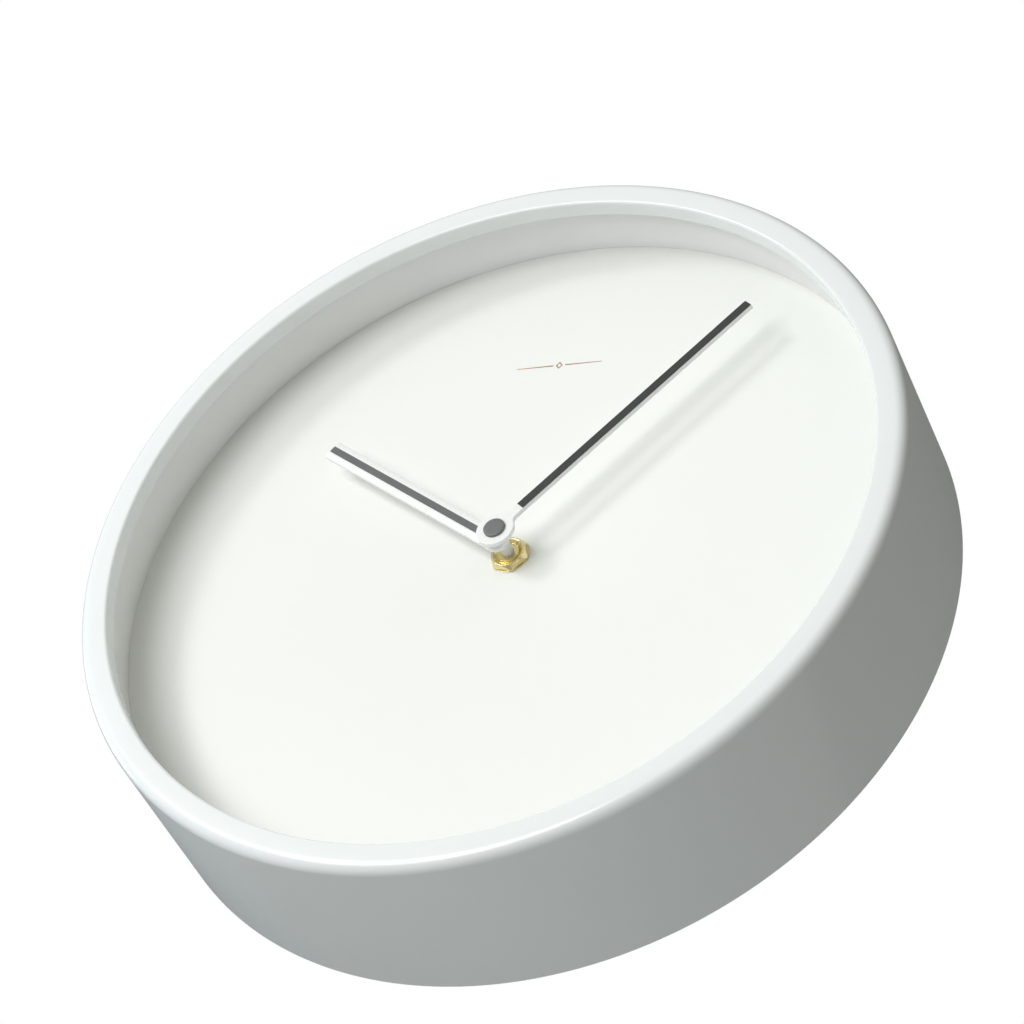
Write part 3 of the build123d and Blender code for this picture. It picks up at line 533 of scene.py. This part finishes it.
def make_minute_hand():
    """Straight hand with a round hub, necked into its blade, and the dark inlay along its front."""
    half = MINUTE_W / 2
    neck_x = half + NECK_R
    neck_y = math.sqrt((MINUTE_HUB_R + NECK_R) ** 2 - neck_x ** 2)
    rise = math.degrees(math.atan2(neck_y, neck_x))
    outline = arc((0, 0), MINUTE_HUB_R, rise, -180 - rise, 72)
    outline += arc((-neck_x, neck_y), NECK_R, -rise, 0, 10)
    outline += rounded_tip(half, MINUTE_REACH)
    outline += arc((neck_x, neck_y), NECK_R, 180, 180 + rise, 10)
    base = MINUTE_TOP - HAND_T
    plate("minute_blade", [turned(outline[:-1], MINUTE_TURN)], base, MINUTE_TOP, "hand_white", "minute",
          hides=["minute_hand"], soften=0.22, sharp=30)
    strip = [(MINUTE_INLAY_W / 2, MINUTE_INLAY_FROM), (-MINUTE_INLAY_W / 2, MINUTE_INLAY_FROM)]
    strip = rounded_tip(MINUTE_INLAY_W / 2, MINUTE_REACH - INLAY_SHORT) + strip
    plate("minute_inlay", [turned(strip, MINUTE_TURN)], MINUTE_TOP, INLAY_TOP, "stripe_black", "minute",
          hides=["minute_hand_stripe"], soften=0.04)
    collar = tube(MINUTE_PIPE_R, MINUTE_COLLAR_R, base - COLLAR_H, base)
    lathe("minute_collar", collar, "hand_white", "minute", steps=96, soften=0.12)


def tube(inner, outer, low, high):
    """Profile of a plain ring."""
    return [(inner, low), (outer, low), (outer, high), (inner, high)]


def rounded_tip(half, reach):
    """The two corners of a straight hand's tip, from its left side over to its right."""
    left = arc((-half + TIP_R, reach - TIP_R), TIP_R, 180, 90, 6)
    return left + arc((half - TIP_R, reach - TIP_R), TIP_R, 90, 0, 6)


def make_hour_hand():
    """Broad bar with a crowned front, a round root and a flat inlay along its middle."""
    half = HOUR_W / 2
    columns = 16
    lengths = 12
    rows = [polar(half, -degrees) for degrees in range(84, -1, -7)]
    rows += [(half, HOUR_REACH * n / lengths) for n in range(1, lengths)]
    rows += arc((half - TIP_R, HOUR_REACH - TIP_R), TIP_R, 0, 90, 6)
    base = HOUR_TOP - HAND_T
    flat = HOUR_INLAY_W / 2 / half
    mesh = bmesh.new()
    top_rows, bottom_rows = [], []
    for wide, y in rows:
        top, bottom = [], []
        for n in range(columns + 1):
            u = -math.cos(math.pi * n / columns)
            fall = max(0.0, (abs(u) - flat) / (1 - flat))
            h = HOUR_TOP - (HAND_T - HOUR_EDGE) * fall ** CROWN_POWER
            (x, yy), = turned([(u * wide - HOUR_ASIDE, y)], HOUR_TURN)
            top.append(mesh.verts.new(at(x, yy, h)))
            bottom.append(mesh.verts.new(at(x, yy, base)))
        top_rows.append(top)
        bottom_rows.append(bottom)
    for grid in (top_rows, bottom_rows):
        for one, two in zip(grid, grid[1:]):
            for n in range(columns):
                mesh.faces.new((one[n], one[n + 1], two[n + 1], two[n]))
    for one, two, three, four in zip(top_rows, top_rows[1:], bottom_rows, bottom_rows[1:]):
        for n in (0, columns):
            mesh.faces.new((one[n], two[n], four[n], three[n]))
    for top, bottom in ((top_rows[0], bottom_rows[0]), (top_rows[-1], bottom_rows[-1])):
        for n in range(columns):
            mesh.faces.new((top[n], top[n + 1], bottom[n + 1], bottom[n]))
    settle("hour_blade", mesh, "hand_white", "hour", hides=["hour_hand"], soften=0.12, sharp=40)
    strip = rounded_tip(HOUR_INLAY_W / 2, HOUR_REACH - HOUR_INLAY_SHORT)
    strip += [(HOUR_INLAY_W / 2, HOUR_INLAY_FROM), (-HOUR_INLAY_W / 2, HOUR_INLAY_FROM)]
    strip = turned([(x - HOUR_ASIDE, y) for x, y in strip], HOUR_TURN)
    plate("hour_inlay", [strip], HOUR_TOP, HOUR_TOP + INLAY_T, "stripe_grey", "hour",
          hides=["hour_hand_stripe"], soften=0.04)
    collar = tube(HOUR_PIPE_R, HOUR_COLLAR_R, base - HOUR_COLLAR_H, base)
    lathe("hour_collar", collar, "hand_white", "hour", steps=96, soften=0.1)


def make_cap():
    """Flat button with a rounded edge."""
    dome = [(0, MINUTE_TOP), (CAP_R, MINUTE_TOP)]
    dome += [(CAP_R - CAP_ROUND + CAP_ROUND * math.cos(a), CAP_TOP - CAP_EDGE + CAP_ROUND * math.sin(a))
             for a in (0, 0.4, 0.8, 1.2)]
    dome += [(CAP_R * 0.75, CAP_TOP - 0.03), (CAP_R * 0.4, CAP_TOP - 0.01), (0, CAP_TOP)]
    lathe("centre_button", dome, "cap_grey", "minute", steps=128, hides=["centre_cap"])


def make_nut():
    """Hexagonal nut with a long chamfer round its corners and a countersunk mouth."""
    corner_r = NUT_FLATS / math.sqrt(3)
    ring = corner_r - NUT_CROWN
    bore = BUSH_R + BORE_GAP

    def outline(turn):
        folded = (turn - NUT_TURN) % 60 - 30
        hexagon = NUT_FLATS / 2 / math.cos(math.radians(folded))
        drop = (hexagon - ring) * NUT_CROWN_H / NUT_CROWN
        return [(bore, NUT_BACK), (hexagon, NUT_BACK), (hexagon, NUT_TOP - drop), (ring, NUT_TOP),
                (SINK_R, NUT_TOP), (bore, NUT_TOP - SINK_DEEP)]
    lathe("hex_nut", outline, "brass_yellow", steps=240, hides=["mounting_nut"], soften=0.12, sharp=28)


def make_back_details():
    """Moulded rings of the rear cover and the marks beside the hanger and the knob."""
    for name, radius, wide, high, round_r in COVER_RINGS:
        ring = rounded([(radius, COVER_BACK, 0), (radius, COVER_BACK - high, round_r),
                        (radius + wide, COVER_BACK - high, round_r), (radius + wide, COVER_BACK, 0)], steps=4)
        lathe(name, ring, "back_plastic", sharp=40)
    plate("hang_mark", [HANG_MARK], COVER_BACK - MARK_T, COVER_BACK, "back_plastic", "case", soften=0.12)
    low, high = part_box("setting_knob")
    knob = ((low.x + high.x) / 2 / MM, ((low.z + high.z) / 2 - AXIS.z) / MM)
    inside, outside = ARROW_R - ARROW_W / 2, ARROW_R + ARROW_W / 2
    sweep = arc(knob, outside, -60, 200, 30)
    sweep += list(reversed(arc(knob, inside, -60, 200, 30)))
    head = [polar(outside + ARROW_BARB, -58, knob), polar(inside - ARROW_BARB, -58, knob),
            polar(ARROW_R, -80, knob)]
    plate("knob_arrow", [sweep, head], MOVEMENT_BACK - ARROW_T, MOVEMENT_BACK, "movement_black", "case",
          soften=0.08)


# CAD nodes that get a rounded edge
CARRIED = ("lens_gasket", "dial_plate", "rear_sleeve", "back_cover_screws", "hanger_plate", "hanger_rivets",
           "wall_bumpers", "movement_front_case", "movement_back_case", "setting_knob", "battery_can",
           "battery_cap", "stator_plate", "coil_bobbin", "circuit_board", "ic_chip", "nut_washer",
           "threaded_bushing")


def dress_nodes():
    """Give every carried-over CAD node its slot's look, and the outer ones a rounded edge."""
    slots = {part["node"]: part["material_slot"] for part in frame["record"]["subparts"]}
    for node, piece in frame["nodes"].items():
        look = LOOKS[slots[node]]
        for place in piece.material_slots:
            place.material = look
        if not piece.material_slots:
            piece.data.materials.append(look)
        if node in CARRIED:
            weld = piece.modifiers.new("weld", "WELD")
            weld.merge_threshold = 1e-6
            round_edges(piece, 0.15, 2)


# ---- setting ----
def make_camera():
    """Camera below and to the right of the clock, turned a little about its line of sight."""
    turn, rise = math.radians(CAMERA_AZIMUTH), math.radians(CAMERA_ELEVATION)
    back_way = Vector((math.sin(turn) * math.cos(rise), -math.cos(turn) * math.cos(rise), math.sin(rise)))
    aim = Vector((AXIS.x + AIM_RIGHT, SHELL_LOW.y, AXIS.z + AIM_UP))
    camera = bpy.data.objects.new("camera", bpy.data.cameras.new("camera"))
    bpy.context.scene.collection.objects.link(camera)
    camera.data.lens = CAMERA_LENS
    camera.data.sensor_width = 36
    camera.location = aim + back_way * CAMERA_DISTANCE
    level = (-back_way).to_track_quat("-Z", "Y").to_matrix()
    camera.rotation_euler = (level @ Matrix.Rotation(math.radians(CAMERA_ROLL), 3, "Z")).to_euler()
    bpy.context.scene.camera = camera


def make_lamp(name, way, beam, size, distance):
    """Round lamp that shines on the clock and that no camera sees."""
    way = Vector(way).normalized()
    data = bpy.data.lights.new(name, "AREA")
    data.shape = "DISK"
    data.size = size
    data.energy = beam * math.pi ** 2 * distance ** 2
    lamp = bpy.data.objects.new(name, data)
    bpy.context.scene.collection.objects.link(lamp)
    lamp.location = AXIS + way * distance
    lamp.rotation_euler = way.to_track_quat("Z", "Y").to_euler()
    lamp.visible_camera = False


def make_world():
    """Light strongest from the front and the left, and warmer from the right; the camera sees plain white."""
    world = bpy.data.worlds.new("studio")
    world.use_nodes = True
    bpy.context.scene.world = world
    nodes, links = world.node_tree.nodes, world.node_tree.links
    ambient = nodes["Background"]
    place = nodes.new("ShaderNodeTexCoord")
    tilt = nodes.new("ShaderNodeVectorMath")
    tilt.operation = "DOT_PRODUCT"
    tilt.inputs[1].default_value = AMBIENT_TILT
    links.new(place.outputs["Generated"], tilt.inputs[0])
    level = nodes.new("ShaderNodeMath")
    level.inputs[1].default_value = AMBIENT
    links.new(tilt.outputs["Value"], level.inputs[0])
    links.new(level.outputs["Value"], ambient.inputs["Strength"])
    split = nodes.new("ShaderNodeSeparateXYZ")
    links.new(place.outputs["Generated"], split.inputs["Vector"])
    across = nodes.new("ShaderNodeMapRange")
    across.inputs["From Min"].default_value = -1
    links.new(split.outputs["X"], across.inputs["Value"])
    tint = ramp(nodes, links, across.outputs["Result"], (0.15, COOL_SIDE), (0.85, WARM_SIDE))
    links.new(tint, ambient.inputs["Color"])
    plain = nodes.new("ShaderNodeBackground")
    plain.inputs["Color"].default_value = (1, 1, 1, 1)
    rays = nodes.new("ShaderNodeLightPath")
    mix = nodes.new("ShaderNodeMixShader")
    links.new(rays.outputs["Is Camera Ray"], mix.inputs["Fac"])
    links.new(ambient.outputs["Background"], mix.inputs[1])
    links.new(plain.outputs["Background"], mix.inputs[2])
    links.new(mix.outputs["Shader"], nodes["World Output"].inputs["Surface"])


def make_floor():
    """Plain pale floor, well below the clock."""
    mesh = bmesh.new()
    half = FLOOR_SIZE / 2
    level = AXIS.z - FLOOR_DROP
    corners = ((-1, -1), (1, -1), (1, 1), (-1, 1))
    mesh.faces.new([mesh.verts.new((x * half, y * half, level)) for x, y in corners])
    data = bpy.data.meshes.new("floor")
    mesh.to_mesh(data)
    mesh.free()
    floor = bpy.data.objects.new("floor", data)
    bpy.context.scene.collection.objects.link(floor)
    data.materials.append(finish_of("floor_pale", (0.80, 0.80, 0.79), (0.6, 0.75), tint=0.02, patch=0.8,
                                    grain=40, strength=0.02))


make_camera()
dress_nodes()
make_case()
make_motif()
make_minute_hand()
make_hour_hand()
make_cap()
make_nut()
make_back_details()
make_floor()
make_world()
for lamp_name, settings in LAMPS.items():
    make_lamp(lamp_name, *settings)
bpy.data.lights["side"].color = SIDE_TINT
bpy.data.objects["rear"].visible_glossy = False
bpy.context.scene.view_settings.view_transform = "Standard"
